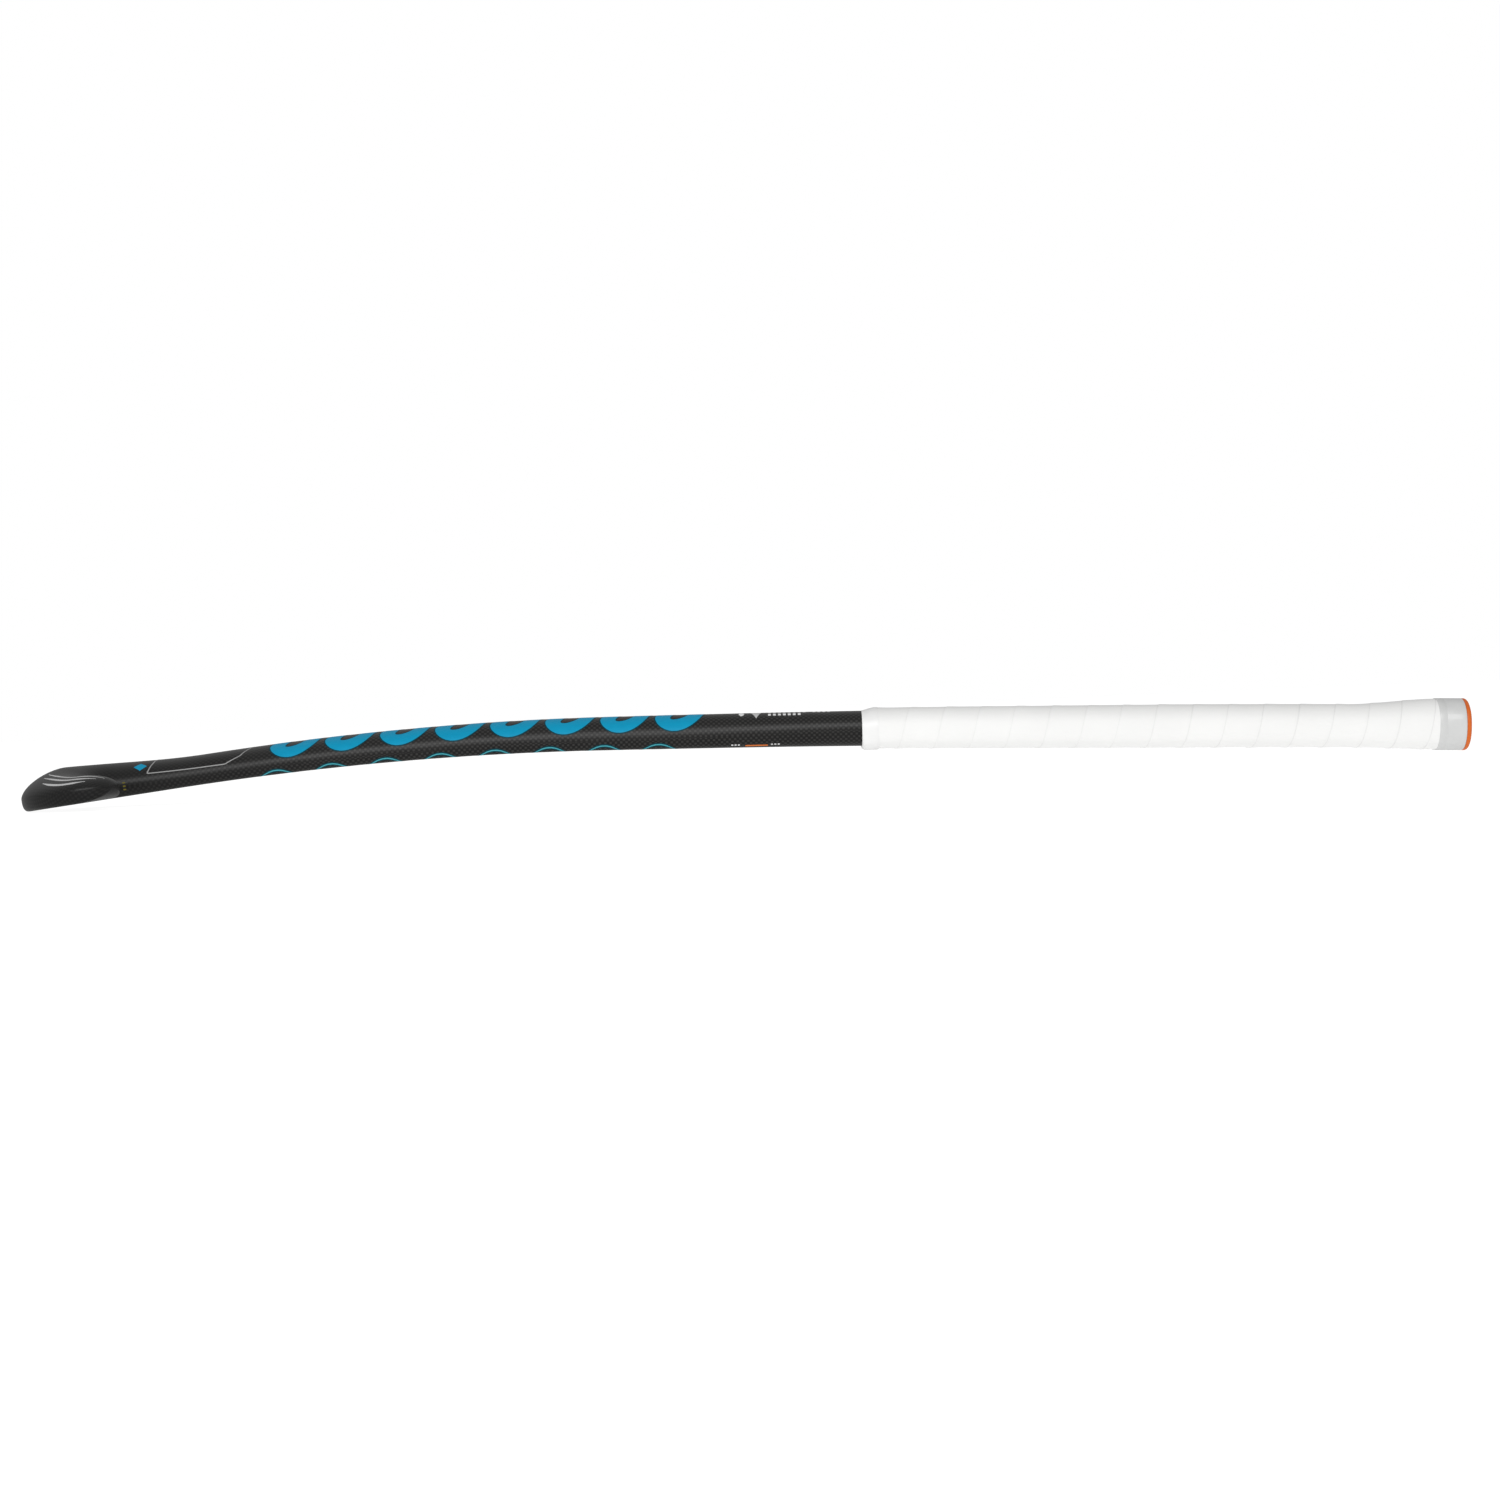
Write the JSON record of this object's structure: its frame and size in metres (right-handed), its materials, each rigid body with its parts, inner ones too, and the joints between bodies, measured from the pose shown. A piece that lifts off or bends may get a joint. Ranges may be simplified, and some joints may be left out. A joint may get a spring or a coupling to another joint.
{
  "type": "field hockey stick",
  "caption": "Composite field hockey stick with a flat playing face, a rounded back, a hooked head, a low bow and a taped grip.",
  "frame": {"origin": "on the floor, under the middle of the stick's bounding box, as it lies on its playing face", "axes": "+X from the head to the butt, -Y from the shaft to the toe, +Z from the playing face to the rounded back"},
  "size_m": [0.929, 0.1084, 0.0447],
  "materials": {
    "carbon_laminate": "satin clear coat over woven carbon",
    "inner_carbon": "matt",
    "aramid_ply": "woven, matt",
    "core_foam": "closed-cell foam",
    "orange_rubber": "moulded, satin",
    "cushion_foam": "soft foam",
    "grip_tape": "tacky, fine matt grain",
    "finishing_tape": "smooth",
    "collar_band": "smooth, satin"
  },
  "bodies": {
    "root": {"outer_laminate": "carbon_laminate", "toe_side_tube": "inner_carbon", "heel_side_tube": "inner_carbon", "head_reinforcement": "aramid_ply", "head_core": "core_foam", "butt_plug": "core_foam", "end_cap": "orange_rubber", "grip_cushion": "cushion_foam", "grip_tape": "grip_tape", "finishing_tape": "finishing_tape", "butt_collar": "collar_band"}
  },
  "joints": []
}
